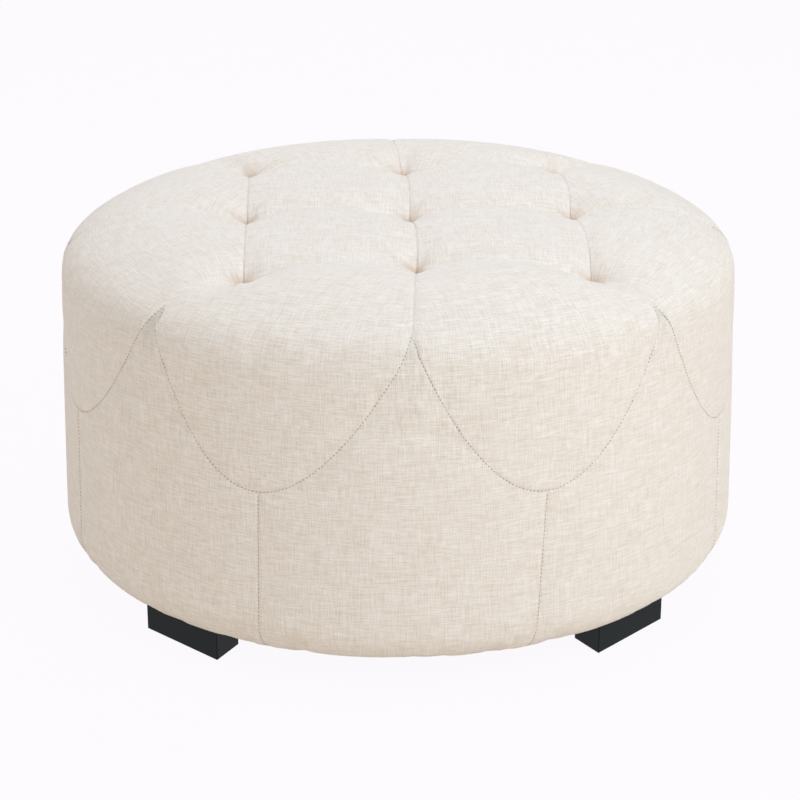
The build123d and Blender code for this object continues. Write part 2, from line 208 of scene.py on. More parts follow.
def scallop_run(index, u):
    """How far down the outline the scalloped seam of a petal lies."""
    side = 0 if u < 0.5 else 1
    split = split_radius - split_inset[(index + side) % 8]
    top = np.interp(split, outline_radius[:crown_points], outline_height[:crown_points])
    rise = (top - low_height[index]) * abs(2 * u - 1) ** curve_power[index][side]
    return float(np.interp(-(low_height[index] + rise), -outline_height, outline_run))


front_seam = [round(scallop_run(5, u / 8)) for u in range(9)]
print("front seam below the shoulder:", front_seam, "mm of cloth")

# %% [markdown]
# ## Twenty cut panels
# The cover is sewn from four squares, eight petals and eight side panels. Each is drawn as a grid
# of points that runs from seam to seam, so two neighbours share the points of their seam. Every
# point also keeps its place on the flat cloth, across and along the threads, for the weave.

# %% Square panels
steps = 36
seam_bow = 3.5


def bowed(point, column, along):
    """Seams that run front to back lean a little to the right, except in the left column."""
    lean = np.clip(column + 1, 0, 1) * seam_bow * 4 * along * (1 - along)
    return point + np.stack([lean, 0 * lean], -1)


def between(first, second, share):
    """Points on the way from the first place to the second."""
    return first + (second - first) * np.asarray(share)[..., None]


def square_panel(column, row):
    """A grid between four tufts."""
    u, v = np.meshgrid(np.linspace(0, 1, steps + 1), np.linspace(0, 1, steps + 1), indexing="ij")
    left = between(tuft_place(column, row), tuft_place(column, row + 1), v)
    right = between(tuft_place(column + 1, row), tuft_place(column + 1, row + 1), v)
    plan = bowed(between(left, right, u), column + u, v)
    height = crown_height(plan[..., 0], plan[..., 1])
    return np.concatenate([plan, height[..., None], plan], -1)


print("grid of a square:", square_panel(0, 0).shape)

# %% Petals
petal_rows = 56


def petal_panel(index):
    """A grid from two tufts over the rim to the scalloped seam."""
    start, end = tuft_ring[index], tuft_ring[(index + 1) % 8]
    middle = tau * (index + 0.5) / 8
    columns = []
    for u in np.linspace(0, 1, steps + 1):
        inner = between(tuft_place(*start), tuft_place(*end), u)
        if start[0] == end[0]:
            inner = bowed(inner, np.array(start[0]), np.array(u))
        away, drop_run = petal_angle(index, u), scallop_run(index, u)
        direction = np.array([cos(middle + away), sin(middle + away)])
        outer = np.interp(min(drop_run, 0), outline_run, outline_radius) * direction
        crown_run = hypot(*(outer - inner))
        run = np.linspace(0, crown_run + max(drop_run, 0), petal_rows + 1)
        share = np.minimum(run / crown_run, 1)
        plan = between(inner, outer, share)
        height = crown_height(plan[:, 0], plan[:, 1])
        below = run > crown_run + 1e-9
        past_rim = (run - crown_run)[below]
        plan[below] = np.interp(past_rim, outline_run, outline_radius)[:, None] * direction
        height[below] = np.interp(past_rim, outline_run, outline_height)
        turning = share**2
        distance = split_radius + run - crown_run
        across = (1 - turning) * (plan @ [-sin(middle), cos(middle)]) + turning * rim_radius * away
        along = (1 - turning) * (plan @ [cos(middle), sin(middle)]) + turning * distance
        columns.append(np.stack([plan[:, 0], plan[:, 1], height, across, -along], -1))
    return np.array(columns)


print("grid of a petal:", petal_panel(0).shape)

# %% Side panels
side_rows = 40
seam_lean = [radians(-a) for a in (0.5, 0, 1, 0.4, 0, 0.3, 2.4, 0.5)]


def side_panel(index):
    """A grid from two scalloped seams, with the split between them, down to the tuck."""
    middle = tau * index / 8
    columns = []
    for u in np.linspace(-1, 1, steps + 1):
        petal, place = ((index - 1) % 8, 1 + u / 2) if u < 0 else (index, u / 2)
        top = scallop_run(petal, place)
        run = np.linspace(top, outline_run[-1], side_rows + 1)
        radius = np.interp(run, outline_run, outline_radius)
        height = np.interp(run, outline_run, outline_height)
        angle = petal_angle(petal, place) + (-half_petal if u < 0 else half_petal)
        angle = angle + seam_lean[petal] * abs(u) * (run - top) / (outline_run[-1] - top)
        across = rim_radius * angle
        x, y = radius * np.cos(middle + angle), radius * np.sin(middle + angle)
        columns.append(np.stack([x, y, height, across, -run], -1))
    return np.array(columns)


print("grid of a side panel:", side_panel(0).shape)

# %% All twenty
quarter_names = ["back_right", "back_left", "front_left", "front_right"]
petal_names = [
    "right_back", "back_right", "back_left", "left_back",
    "left_front", "front_left", "front_right", "right_front",
]
side_names = [
    "right", "back_right", "back", "back_left", "left", "front_left", "front", "front_right",
]
panels = {}
for name, corner in zip(quarter_names, [(0, 0), (-1, 0), (-1, -1), (0, -1)]):
    panels["top_panel_" + name] = square_panel(*corner)
for index, name in enumerate(petal_names):
    panels["petal_" + name] = petal_panel(index)
for index, name in enumerate(side_names):
    panels["side_panel_" + name] = side_panel(index)
print("panels:", len(panels), "points:", sum(grid[..., 0].size for grid in panels.values()))

# %% [markdown]
# ## One sewn blank
# For stuffing, the panels have to be one piece of cloth. Points that lie on the same spot of a
# seam are welded here, and each panel remembers which welded points are its own.

# %% Weld the panels
weld_gap = 0.05
drum_middle = [0, 0, 230]


def border_of(shape):
    """True at the edge of a grid of this shape."""
    border = np.zeros(shape, bool)
    border[[0, -1], :] = border[:, [0, -1]] = True
    return border


welded = []
own_points = {}
for name, grid in panels.items():
    known = len(welded)
    found = KDTree(known)
    for number, point in enumerate(welded):
        found.insert(point, number)
    found.balance()
    numbers = np.full(grid.shape[:2], -1)
    border = border_of(numbers.shape)
    for i, j in np.ndindex(*numbers.shape):
        point = grid[i, j, :3]
        if border[i, j] and known:
            _, number, gap = found.find(point)
            if gap < weld_gap:
                numbers[i, j] = number
                continue
        numbers[i, j] = len(welded)
        welded.append(point)
    own_points[name] = numbers
blank_points = np.array(welded)


def quads(numbers):
    """The faces of a grid of point numbers."""
    faces = np.stack([numbers[:-1, :-1], numbers[1:, :-1], numbers[1:, 1:], numbers[:-1, 1:]], -1)
    return faces.reshape(-1, 4)


def outward(points, faces):
    """Turns the faces so that they look away from the middle of the drum."""
    a, b, c = points[faces[:, 0]], points[faces[:, 1]], points[faces[:, 2]]
    normal = np.cross(b - a, c - a)
    if (normal * (a - drum_middle)).sum() < 0:
        faces = faces[:, ::-1]
    return faces


own_faces = [outward(blank_points, quads(numbers)) for numbers in own_points.values()]
blank_faces = np.concatenate(own_faces)
print("welded points:", len(blank_points), "faces:", len(blank_faces))

# %% [markdown]
# ## Stuffing by simulation
# Cloth under pressure between sewn lines swells by itself into soft puffs, with small creases
# where it is held. The seams are pinned where the upholsterer's twine and stitches hold them, and
# the cloth gets a little spare length. No point may move further than the cap, which is small
# near the tufts and at the rim, where the cloth is tight.

# %% Stuff the blank
metres = 0.001
frames = 20
spare_cloth = 0.015
crown_swell, side_swell = 8, 3
lowest_puff = split_height - 20
tightness, tight_reach = 0.9, 42
least_at_rim, rim_reach = 0.45, 90


def mesh_of(name, points, faces):
    """A mesh in metres from points in millimetres."""
    mesh = bpy.data.meshes.new(name)
    faces = [list(map(int, face)) for face in faces]
    mesh.from_pydata((np.asarray(points) * metres).tolist(), [], faces)
    mesh.update()
    return mesh


def stuffed(points, faces, pinned):
    """Points after the cloth has swelled under pressure."""
    blank = linked("sewn_blank", mesh_of("sewn_blank", points, faces))
    scene = bpy.context.scene
    group = blank.vertex_groups.new(name="sewn_lines")
    group.add(pinned, 1, "REPLACE")
    cloth = blank.modifiers.new("stuffing", "CLOTH")
    cloth.settings.quality = 5
    cloth.settings.mass = 0.3
    cloth.settings.tension_stiffness = cloth.settings.compression_stiffness = 15
    cloth.settings.shear_stiffness = 5
    cloth.settings.bending_stiffness = 0.5
    cloth.settings.shrink_min = -spare_cloth
    cloth.settings.vertex_group_mass = group.name
    cloth.settings.use_pressure = True
    cloth.settings.uniform_pressure_force = 4
    cloth.settings.effector_weights.gravity = 0
    cloth.collision_settings.use_collision = False
    cloth.point_cache.frame_start, cloth.point_cache.frame_end = 1, frames
    for number in range(1, frames + 1):
        scene.frame_set(number)
    shaped = blank.evaluated_get(bpy.context.evaluated_depsgraph_get()).to_mesh()
    moved = np.array([v.co for v in shaped.vertices]) / metres - points
    scene.frame_set(1)
    bpy.data.objects.remove(blank)
    length = np.linalg.norm(moved, axis=1, keepdims=True)
    slack = 1 - tightness * np.exp(-nearest_tuft(points) / tight_reach)
    from_rim = split_radius - np.hypot(points[:, 0], points[:, 1])
    slack *= np.clip(from_rim / rim_reach, least_at_rim, 1)
    cap = np.where(points[:, 2] > lowest_puff, crown_swell * slack, side_swell)[:, None]
    return points + moved / (1 + length / cap)


pinned = set()
for numbers in own_points.values():
    pinned.update(numbers[border_of(numbers.shape)].tolist())
shaped_points = (
    stuffed(blank_points, blank_faces, sorted(pinned))
)
swell = np.linalg.norm(shaped_points - blank_points, axis=1)
print("pinned points:", len(pinned))
print("most swell:", round(float(swell.max()), 2), "mean:", round(float(swell.mean()), 2))

# %% [markdown]
# ## Panels cut apart again
# The stuffed shape goes back to the twenty panels, because a real cover has that many pieces.
# Each grid is made twice as fine by a rule that keeps its points and rounds the way between them,
# and gets one more row close to its edge, where the cloth bends into the seam.

# %% Finer grids
seam_row = 0.4


def doubled(grid):
    """A grid with a new point between every two along its first direction, on a smooth curve."""
    first, last = 2 * grid[0] - grid[1], 2 * grid[-1] - grid[-2]
    padded = np.concatenate([first[None], grid, last[None]])
    halfway = (9 * (padded[1:-2] + padded[2:-1]) - padded[:-3] - padded[3:]) / 16
    finer = np.empty((2 * len(grid) - 1, *grid.shape[1:]))
    finer[::2], finer[1::2] = grid, halfway
    return finer


def with_seam_rows(grid):
    """A grid with one more row close to each end, where the cloth bends into the seam."""
    near = grid[0] * (1 - seam_row) + grid[1] * seam_row
    far = grid[-1] * (1 - seam_row) + grid[-2] * seam_row
    return np.concatenate([grid[:1], near[None], grid[1:-1], far[None], grid[-1:]])


def across_both(rule, grid):
    """A rule for the first direction of a grid, used on both directions."""
    return rule(rule(grid).swapaxes(0, 1)).swapaxes(0, 1)


def normals_of(points, faces):
    """Normals at the points of four-sided faces."""
    a, b, c, d = (points[faces[:, n]] for n in range(4))
    facing = np.cross(c - a, d - b)
    total = np.zeros_like(points)
    for n in range(4):
        np.add.at(total, faces[:, n], facing)
    return total / np.maximum(np.linalg.norm(total, axis=1, keepdims=True), 1e-9)


blank_normals = normals_of(shaped_points, blank_faces)
finished = {}
for name, grid in panels.items():
    numbers = own_points[name]
    cloth = np.concatenate([shaped_points[numbers], grid[..., 3:], blank_normals[numbers]], -1)
    if name.startswith("side_panel"):
        half = steps // 2
        left, right = across_both(doubled, cloth[: half + 1]), across_both(doubled, cloth[half:])
        cloth = np.concatenate([left[:-1], right])
    else:
        cloth = across_both(doubled, cloth)
    finished[name] = across_both(with_seam_rows, cloth)
print("points after doubling:", sum(cloth[..., 0].size for cloth in finished.values()))

# %% [markdown]
# ## Colours and nodes
# Each finish below starts from what the real surface is. Four small helpers do for all of them:
# one turns a colour as a painter writes it into the linear value Blender needs, one adds a node,
# and two begin and end a finish.

# %% Helpers for finishes


def paint(code):
    """Linear RGBA of an sRGB hex colour."""
    parts = [int(code[n : n + 2], 16) / 255 for n in (1, 3, 5)]
    return [p / 12.92 if p <= 0.04045 else ((p + 0.055) / 1.055) ** 2.4 for p in parts] + [1]


def add_node(finish, kind, settings=(), **inputs):
    """Adds a node. Inputs are values, or sockets of other nodes, by the name of the input."""
    node = finish.node_tree.nodes.new(kind)
    for key, value in dict(settings).items():
        setattr(node, key, value)
    for key, value in inputs.items():
        name = key.replace("_", " ")
        socket = node.inputs[int(key[1:])] if key[1:].isdigit() else node.inputs[name]
        if isinstance(value, bpy.types.NodeSocket):
            finish.node_tree.links.new(value, socket)
        else:
            socket.default_value = value
    return node


def new_finish(name):
    finish = bpy.data.materials.new(name)
    finish.use_nodes = True
    finish.node_tree.nodes.clear()
    return finish


def surface(finish, **inputs):
    """Ends a finish with one surface shader."""
    shader = add_node(finish, "ShaderNodeBsdfPrincipled", **inputs)
    add_node(finish, "ShaderNodeOutputMaterial", Surface=shader.outputs[0])
    return finish


print("a middle grey as Blender has it:", [round(part, 3) for part in paint("#808080")])

# %% [markdown]
# ## Slub linen
# The cover is a plain weave of linen and viscose: weft and warp threads take turns on top, and
# each has slubs, stretches of a few centimetres where the yarn ran thick and pale or thin and
# brown. Real threads are 0.6 mm apart, finer than a pixel here, so they are drawn 1.2 mm apart.
# Linen is dull with a soft sheen from its loose fibres. In the tufts and along the seams that run
# front to back it is painted browner: painted shade, standing for the shadow deep in the folds
# and seams. IOR 1.5 is typical for cellulose.

# %% Threads
thread_pitch = 0.0012
slub_length = 0.024
linen = new_finish("slub_linen_cream")
flat_cloth = add_node(linen, "ShaderNodeUVMap", {"uv_map": "flat_cloth"}).outputs[0]


def streaks(width, length, seed):
    """Noise drawn out along one direction: width by length metres, on the flat cloth."""
    stretched = add_node(
        linen, "ShaderNodeVectorMath", {"operation": "MULTIPLY_ADD"},
        _0=flat_cloth, _1=(1 / width, 1 / length, 1), _2=(seed, seed, 0),
    )
    noise = add_node(
        linen, "ShaderNodeTexNoise", {"noise_dimensions": "2D"},
        Vector=stretched.outputs[0], Scale=1.0, Detail=0.5, Roughness=0.5, Distortion=1.0,
    )
    return noise.outputs[0]


weft = streaks(width=slub_length, length=thread_pitch * 0.5, seed=3.0)
warp = streaks(width=thread_pitch * 0.5, length=slub_length, seed=17.0)
bands = streaks(width=slub_length * 2, length=slub_length / 3, seed=29.0)
# Painted shade: how much the cloth is painted brown in the tufts and along the seams
painted_shade = add_node(linen, "ShaderNodeAttribute", {"attribute_name": "tuft_painted_shade"}).outputs["Fac"]
print("threads to the metre:", round(1 / thread_pitch))

# %% Shader steps


def blend(finish, amount, first, second):
    """The first colour at 0, the second at 1."""
    mixed = add_node(
        finish, "ShaderNodeMix", {"data_type": "RGBA"}, Factor=amount, _6=first, _7=second
    )
    return mixed.outputs[2]


def arithmetic(finish, operation, first, second):
    result = add_node(finish, "ShaderNodeMath", {"operation": operation}, _0=first, _1=second)
    return result.outputs[0]


def ranged(finish, value, start, end, low=0.0, high=1.0):
    """Low up to the start, high from the end, straight between them."""
    limits = {"From_Min": start, "From_Max": end, "To_Min": low, "To_Max": high}
    return add_node(finish, "ShaderNodeMapRange", Value=value, **limits).outputs[0]


def bumped(finish, height, strength, distance):
    """Normals of a surface with this relief."""
    relief = {"Height": height, "Strength": strength, "Distance": distance}
    return add_node(finish, "ShaderNodeBump", **relief).outputs[0]


flat_place = add_node(linen, "ShaderNodeSeparateXYZ", Vector=flat_cloth).outputs
print("linen nodes so far:", len(linen.node_tree.nodes))

# %% Weave
thin_yarn, thick_yarn = (0.5, 0.36), (0.53, 0.62)
thin_colour, thick_colour = paint("#E1D6C7"), paint("#FFFEFD")
# Brown painted shade for the tufts and seams, and how strongly it covers the weave
painted_shade_colour, painted_shade_share = paint("#C19A72"), 0.75


def wave(along):
    """A sine that changes sign at every thread."""
    turns = arithmetic(linen, "MULTIPLY", along, pi / thread_pitch)
    return arithmetic(linen, "SINE", turns, 0.0)


def yarn(thickness, ground):
    """Colour of one set of threads, brown where the yarn ran thin and pale where it ran thick."""
    thin, thick = ranged(linen, thickness, *thin_yarn), ranged(linen, thickness, *thick_yarn)
    return blend(linen, thick, blend(linen, thin, ground, thin_colour), thick_colour)


warp_wave, weft_wave = wave(flat_place[0]), wave(flat_place[1])
crossing = arithmetic(linen, "MULTIPLY", warp_wave, weft_wave)
weft_share = ranged(linen, crossing, -1.0, 1.0, low=0.4, high=0.7)
patches = streaks(width=slub_length, length=slub_length * 0.7, seed=53.0)
rows = blend(linen, ranged(linen, patches, 0.42, 0.58), warp_wave, weft_wave)
# Rows of thread alternate lighter and darker: painted shading of the thread relief
painted_row_shading = blend(linen, ranged(linen, rows, -1.0, 1.0), paint("#E9E4DC"), paint("#F4F1EB"))
ground = blend(linen, ranged(linen, bands, 0.3, 0.7), painted_row_shading, paint("#F4F0EA"))
woven = blend(linen, weft_share, yarn(warp, ground), yarn(weft, ground))
# The weave turns brown where the painted shade lies, in the tufts and along the seams
painted_shade_factor = arithmetic(linen, "MULTIPLY", painted_shade, painted_shade_share)
colour = blend(linen, painted_shade_factor, woven, painted_shade_colour)
threads = arithmetic(linen, "ADD", weft, warp)
relief = arithmetic(linen, "ADD", threads, arithmetic(linen, "MULTIPLY", crossing, 0.4))
weave_bump = bumped(linen, relief, strength=0.35, distance=0.0006)
surface(
    linen,
    Base_Color=colour,
    Roughness=ranged(linen, weft, 0.0, 1.0, low=0.96, high=0.8),
    Normal=weave_bump,
    IOR=1.5,
    Sheen_Weight=0.6,
    Sheen_Roughness=0.5,
    Specular_IOR_Level=0.3,
)
print("linen nodes:", len(linen.node_tree.nodes))

# %% [markdown]
# ## The panels as pieces
# Each panel becomes a thin shell of cloth, 1.5 mm thick, whose edge sinks a little into the seam.
# That draws the fine lines of the photograph. The edge sinks more at the tufts and along the
# seams that run front to back. On the flat cloth the panels lie far apart, so that the weave
# never runs on across a seam. Each panel stands for the CAD panel of the same name, which is
# hidden.

# %% Painted shade and seams
# Painted shade reaches this far from a tuft, and along the front-to-back seams near the tufts
painted_shade_reach, painted_shade_power = 11, 1.5
seam_painted_shade, seam_painted_shade_reach = 0.9, 40
lowest_painted_shade = split_height - 30
seam_sink, front_to_back_sink, side_seam_sink = 0.25, 0.5, 0.4
tuft_sink, tuft_sink_reach = 1.2, 18
sink_end, sink_fade = split_radius - 6, 12
four_edges = (np.s_[0, :], np.s_[-1, :], np.s_[:, 0], np.s_[:, -1])


def runs_front_to_back(line):
    """Where a line of points goes front to back rather than from side to side."""
    ahead = np.abs(np.gradient(line[:, :2], axis=0))
    return ahead[:, 1] > 2 * ahead[:, 0]


def painted_shade_of(cloth):
    """Painted shade of a grid: 1 at a tuft, less along the seams that run front to back."""
    away = nearest_tuft(cloth)
    painted_amount = np.exp(-((away / painted_shade_reach) ** painted_shade_power))
    for edge in four_edges:
        at_seam = seam_painted_shade * np.exp(-away[edge] / seam_painted_shade_reach)
        at_seam *= runs_front_to_back(cloth[edge])
        painted_amount[edge] = np.maximum(painted_amount[edge], at_seam)
    return painted_amount * (cloth[..., 2] > lowest_painted_shade)


def edge_sink(name, cloth):
    """How deep each point of a panel lies in its seam."""
    sunk = seam_sink + tuft_sink * np.exp(-nearest_tuft(cloth) / tuft_sink_reach)
    sink = np.zeros(cloth.shape[:2])
    for edge in four_edges:
        on_crown = np.clip((sink_end - np.hypot(*cloth[edge][:, :2].T)) / sink_fade, 0, 1)
        deeper = front_to_back_sink * runs_front_to_back(cloth[edge]) * on_crown
        sink[edge] = sunk[edge] + deeper
    if name.startswith("side_panel"):
        sink[:, -1] = 0
        sink[[0, -1], 1:-1] += side_seam_sink
    return sink


for name in ("top_panel_front_left", "petal_front_left", "side_panel_front"):
    print(name, "sinks by", round(float(edge_sink(name, finished[name]).max()), 2), "mm at most")

# %% Make the linen panels
cloth_thickness = 0.0015
cut_apart = 977


def placed(name, mesh, finish):
    """A piece with one finish, which rides with the rest."""
    mesh.polygons.foreach_set("use_smooth", [True] * len(mesh.polygons))
    mesh.materials.append(finish)
    piece = linked(name, mesh)
    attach(piece, "root")
    return piece


def linen_piece(name, cloth):
    """A piece from a grid of points, with its place on the flat cloth as a UV map."""
    numbers = np.arange(cloth[..., 0].size).reshape(cloth.shape[:2])
    points = cloth[..., :3].reshape(-1, 3)
    faces = outward(points, quads(numbers))
    mesh = mesh_of(name, points, faces)
    flat = mesh.uv_layers.new(name="flat_cloth")
    flat_place = cloth[..., 3:5].reshape(-1, 2) * metres
    flat.data.foreach_set("uv", flat_place[faces.ravel()].ravel())
    # Painted shade for the tufts and seams, stored on the points
    painted_shade_layer = mesh.attributes.new("tuft_painted_shade", "FLOAT", "POINT")
    painted_shade_layer.data.foreach_set("value", painted_shade_of(cloth).ravel())
    on_border = border_of(numbers.shape).ravel()
    for edge in mesh.edges:
        edge.use_edge_sharp = all(on_border[n] for n in edge.vertices)
    return placed(name, mesh, linen)


def thickened(piece, thickness, offset):
    """Gives cloth its thickness, all of it inwards for -1 and half of it for 0."""
    shell = piece.modifiers.new("cloth_thickness", "SOLIDIFY")
    shell.thickness, shell.offset = thickness, offset


def flat_area(cloth):
    """Area in square metres of a panel's shape, seam to seam."""
    across, along = cloth[1:, 1:] - cloth[:-1, :-1], cloth[1:, :-1] - cloth[:-1, 1:]
    areas = np.linalg.norm(np.cross(across[..., :3], along[..., :3]), axis=-1) / 2
    return float(areas.sum() * metres**2)


for index, (name, cloth) in enumerate(finished.items()):
    sewn = cloth.copy()
    sewn[..., :3] -= edge_sink(name, cloth)[..., None] * cloth[..., 5:8]
    sewn[..., 3:5] += cut_apart * index
    piece = linen_piece("linen_" + name, sewn)
    thickened(piece, cloth_thickness, -1)
    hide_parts(name)
cloth_used = sum(map(flat_area, finished.values()))
print("linen pieces:", len(finished), "cloth used:", round(cloth_used, 2), "square metres")

# %% [markdown]
# ## Fibre fill under the puffs
# Inside the crown lie twelve pads of loose polyester fibre, one under each square and petal.
# Nobody sees them, but they make the puffs, so each is a closed form with the puff's own shape,
# 3 mm below the linen, down to the level top of the seat foam.

# %% Fibre finish


def in_space(finish):
    """Places in metres in the model's own frame."""
    return add_node(finish, "ShaderNodeTexCoord").outputs["Object"]


def plain_noise(finish, size, detail, stretch=(1, 1, 1)):
    """Noise with features of a size in metres, drawn out by stretch."""
    divided = add_node(
        finish, "ShaderNodeVectorMath", {"operation": "DIVIDE"}, _0=in_space(finish), _1=stretch
    )
    noise = add_node(
        finish, "ShaderNodeTexNoise", Vector=divided.outputs[0], Scale=1 / size, Detail=detail
    )
    return noise.outputs[0]


fibre = new_finish("polyester_fibre_white")
wisps = plain_noise(fibre, size=0.006, detail=6.0)
surface(
    fibre,
    Base_Color=blend(fibre, wisps, paint("#E4E4DE"), paint("#FBFBF8")),
    Roughness=0.9,
    Normal=bumped(fibre, wisps, strength=0.8, distance=0.003),
    Sheen_Weight=0.5,
)
print("fibre nodes:", len(fibre.node_tree.nodes))

# %% Fibre fill
foam_top = 375
pad_bottom, petal_pad_end = foam_top + 0.5, foam_top + 5
under_linen = 3
pad_share = 0.985
crease_angle = radians(40)


def cut_at(cloth, height):
    """The part of each column of points above a height, with as many points as before."""
    columns = []
    count = np.arange(cloth.shape[1])
    for column in cloth:
        last = np.interp(-height, -np.maximum.accumulate(column[::-1, 2])[::-1], count)
        places = np.linspace(0, last, len(count))
        columns.append(np.stack([np.interp(places, count, values) for values in column.T], -1))
    return np.array(columns)


def closed_pad(name, top):
    """A closed piece between a grid of points and the level bottom of the pads."""
    middle = top[..., :2].reshape(-1, 2).mean(0)
    top[..., :2] = middle + (top[..., :2] - middle) * pad_share
    under = top.copy()
    under[..., 2] = pad_bottom
    numbers = np.arange(top[..., 0].size).reshape(top.shape[:2])
    lower = numbers + numbers.size
    around = [numbers[:-1, 0], numbers[-1, :-1], numbers[:0:-1, -1], numbers[0, :0:-1]]
    border = np.concatenate(around)
    following = np.roll(border, -1)
    walls = np.stack([border, border + numbers.size, following + numbers.size, following], -1)
    points = np.concatenate([top.reshape(-1, 3), under.reshape(-1, 3)])
    faces = np.concatenate([quads(numbers), quads(lower)[:, ::-1], walls])
    return closed_piece(name, points, faces, fibre)


def closed_piece(name, points, faces, finish):
    """A closed piece whose faces are turned outwards."""
    mesh = mesh_of(name, points, faces)
    shape = bmesh.new()
    shape.from_mesh(mesh)
    bmesh.ops.recalc_face_normals(shape, faces=shape.faces)
    shape.to_mesh(mesh)
    shape.free()
    piece = placed(name, mesh, finish)
    mesh.set_sharp_from_angle(angle=crease_angle)
    return piece


pads = []
for name, cloth in finished.items():
    if name.startswith("side_panel"):
        continue
    top = cloth[::4, ::4]
    if name.startswith("petal"):
        top = cut_at(top, petal_pad_end)
    pad = closed_pad("fibre_" + name, top[..., :3] - under_linen * top[..., 5:8])
    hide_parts("petal_fill" if name.startswith("petal") else "top_fill")
    pads.append(pad)
print("fibre pads:", len(pads))

# %% [markdown]
# ## Foam under the cover
# A firm foam slab is the seat and a thinner strip goes round the drum, butted at the back. Both
# are turned here from an outline of radius and height, with the small soft edges that cut foam
# has.

# %% Seat foam and side foam
foam = new_finish("open_cell_foam")
cells = plain_noise(foam, size=0.0012, detail=2.0)
surface(
    foam,
    Base_Color=blend(foam, cells, paint("#DDD2AE"), paint("#F0E8CC")),
    Roughness=0.95,
    Normal=bumped(foam, cells, strength=0.6, distance=0.0008),
)


def turned(name, loop, finish, slot_name, start=0.0, end=tau, parts=96):
    """A closed outline of radius and height carried round the centre line."""
    whole = abs(end - start - tau) < 1e-6
    angles = np.linspace(start, end, parts + 1)[: parts if whole else parts + 1]
    loop = np.array(loop, float)
    points = np.array([[r * cos(a), r * sin(a), z] for a in angles for r, z in loop])
    numbers = np.arange(len(points)).reshape(len(angles), len(loop))
    closed = np.concatenate([numbers, numbers[:, :1]], 1)
    if whole:
        closed = np.concatenate([closed, closed[:1]])
    faces = quads(closed).tolist()
    if not whole:
        faces += [numbers[0].tolist(), numbers[-1].tolist()]
    return closed_piece(name, points, faces, finish)


def side_line(inset, low, high, parts=8):
    """Points on the side's outline, drawn in, from a low height to a high one."""
    heights = np.linspace(low, high, parts)
    radii = np.interp(-heights, -outline_height, outline_radius) - inset
    return list(zip(radii.tolist(), heights.tolist()))


cover_room = 2.8
centre_hole = 4
slab_bottom, slab_top = 330.5, foam_top - 0.2
slab_loop = [(centre_hole, slab_bottom), (398, slab_bottom)]
slab_loop += side_line(cover_room, low=333, high=372)
slab_loop += [(397, slab_top), (centre_hole, slab_top)]
slab = turned("seat_foam_slab", slab_loop, foam, "foam")
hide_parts("seat_foam")
joint_at, joint_gap = pi / 2, 0.0016
low_round = edge_round - cover_room
strip_loop = [(365.6, 329)]
strip_loop += arc(low_radius - edge_round, edge_height, low_round, radians(-85.5), 0, 12)
strip_loop += side_line(cover_room, low=100, high=327) + [(398, 329.5)]
strip_ends = joint_at + joint_gap, joint_at + tau - joint_gap
strip = turned("side_foam_strip", strip_loop, foam, "foam", *strip_ends, parts=128)
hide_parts("side_foam")
print("foam: slab of", len(slab.data.polygons), "faces, strip of", len(strip.data.polygons))

# %% [markdown]
# ## Tuft twine
# Each tuft is held by waxed two-ply twine that goes down through the padding and the deck to a
# small square of hardboard, with a knot at each end. The holes in the deck keep the regular
# places of the CAD model. Two strands wound round each other show the lay, and the knots are the
# same strands in wider turns.

# %% Twine
slanted = [0.31, 0.17, 0.93]
twine = new_finish("waxed_linen_twine")
wax = plain_noise(twine, size=0.001, detail=2.0)
surface(
    twine,
    Base_Color=blend(twine, wax, paint("#CDBF9F"), paint("#EADFC6")),
    Roughness=0.55,
    Normal=bumped(twine, wax, strength=0.4, distance=0.0003),
    IOR=1.5,
)


def tubes(paths, widths, sides=6):
    """Closed tubes round paths, none of them slanted, with a width at each point of a path."""
    points, faces = [], []
    for path in paths:
        path = np.asarray(path, float)
        ahead = np.gradient(path, axis=0)
        ahead /= np.linalg.norm(ahead, axis=1, keepdims=True)
        aside = np.cross(ahead, slanted)
        aside /= np.linalg.norm(aside, axis=1, keepdims=True)
        upward = np.cross(ahead, aside)
        base = len(points)
        for centre, a, b, width in zip(path, aside, upward, widths):
            for turn in tau * np.arange(sides) / sides:
                points.append(centre + width / 2 * (a * cos(turn) + b * sin(turn)))
        rings = base + np.arange(len(path) * sides).reshape(len(path), sides)
        faces += quads(np.concatenate([rings, rings[:, :1]], 1)).tolist()
        faces += [rings[0].tolist(), rings[-1][::-1].tolist()]
    return np.array(points), faces


strand_points = 90
strand_width = 1.5
turns_of_lay = 13
low_knot_height, high_knot_depth = 313, 4
knot_width, knot_tightness = 1.6, 28
way = np.linspace(0, 1, strand_points)
knots = np.exp(-((way * knot_tightness) ** 2)) + np.exp(-(((1 - way) * knot_tightness) ** 2))
wide = strand_width / 2 + knot_width * knots
strands = []
for place, _ in tufts:
    regular = np.round((place - [tuft_shift, 0]) / spacing) * spacing
    hole = np.array([*regular, low_knot_height])
    top = np.array([*place, float(crown_height(*place)) - high_knot_depth])
    for start in (0, pi):
        around = way * turns_of_lay * tau + start
        line = between(hole, top, way)
        line[:, 0] += wide * np.cos(around)
        line[:, 1] += wide * np.sin(around)
        strands.append(line)
points, faces = tubes(strands, np.full(strand_points, strand_width))
cords = closed_piece("tuft_twine", points, faces, twine)
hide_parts("tuft_cords")
print("strands:", len(strands))

# %% [markdown]
# ## Stitches
# The scalloped seams are sewn from the outside, and the photograph shows them as fine brown
# dashes about 5 mm apart. The side seams have the same stitches, paler and half sunk. Each stitch
# is a short tapered thread that lies in the seam.

# %% Stitches
stitch_pitch = 4.6
thread_rise = 0.25
stitch_taper = np.array([0.5, 1, 1, 0.5])


def thread_finish(name, dark, light):
    finish = new_finish(name)
    tone = ranged(finish, plain_noise(finish, size=0.014, detail=3.0), 0.4, 0.62)
    colour = blend(finish, tone, paint(dark), paint(light))
    return surface(finish, Base_Color=colour, Roughness=0.6, IOR=1.5)


brown_thread = thread_finish("polyester_thread_brown", "#86715A", "#C6B299")
pale_thread = thread_finish("polyester_thread_sand", "#AC9981", "#CBBAA2")


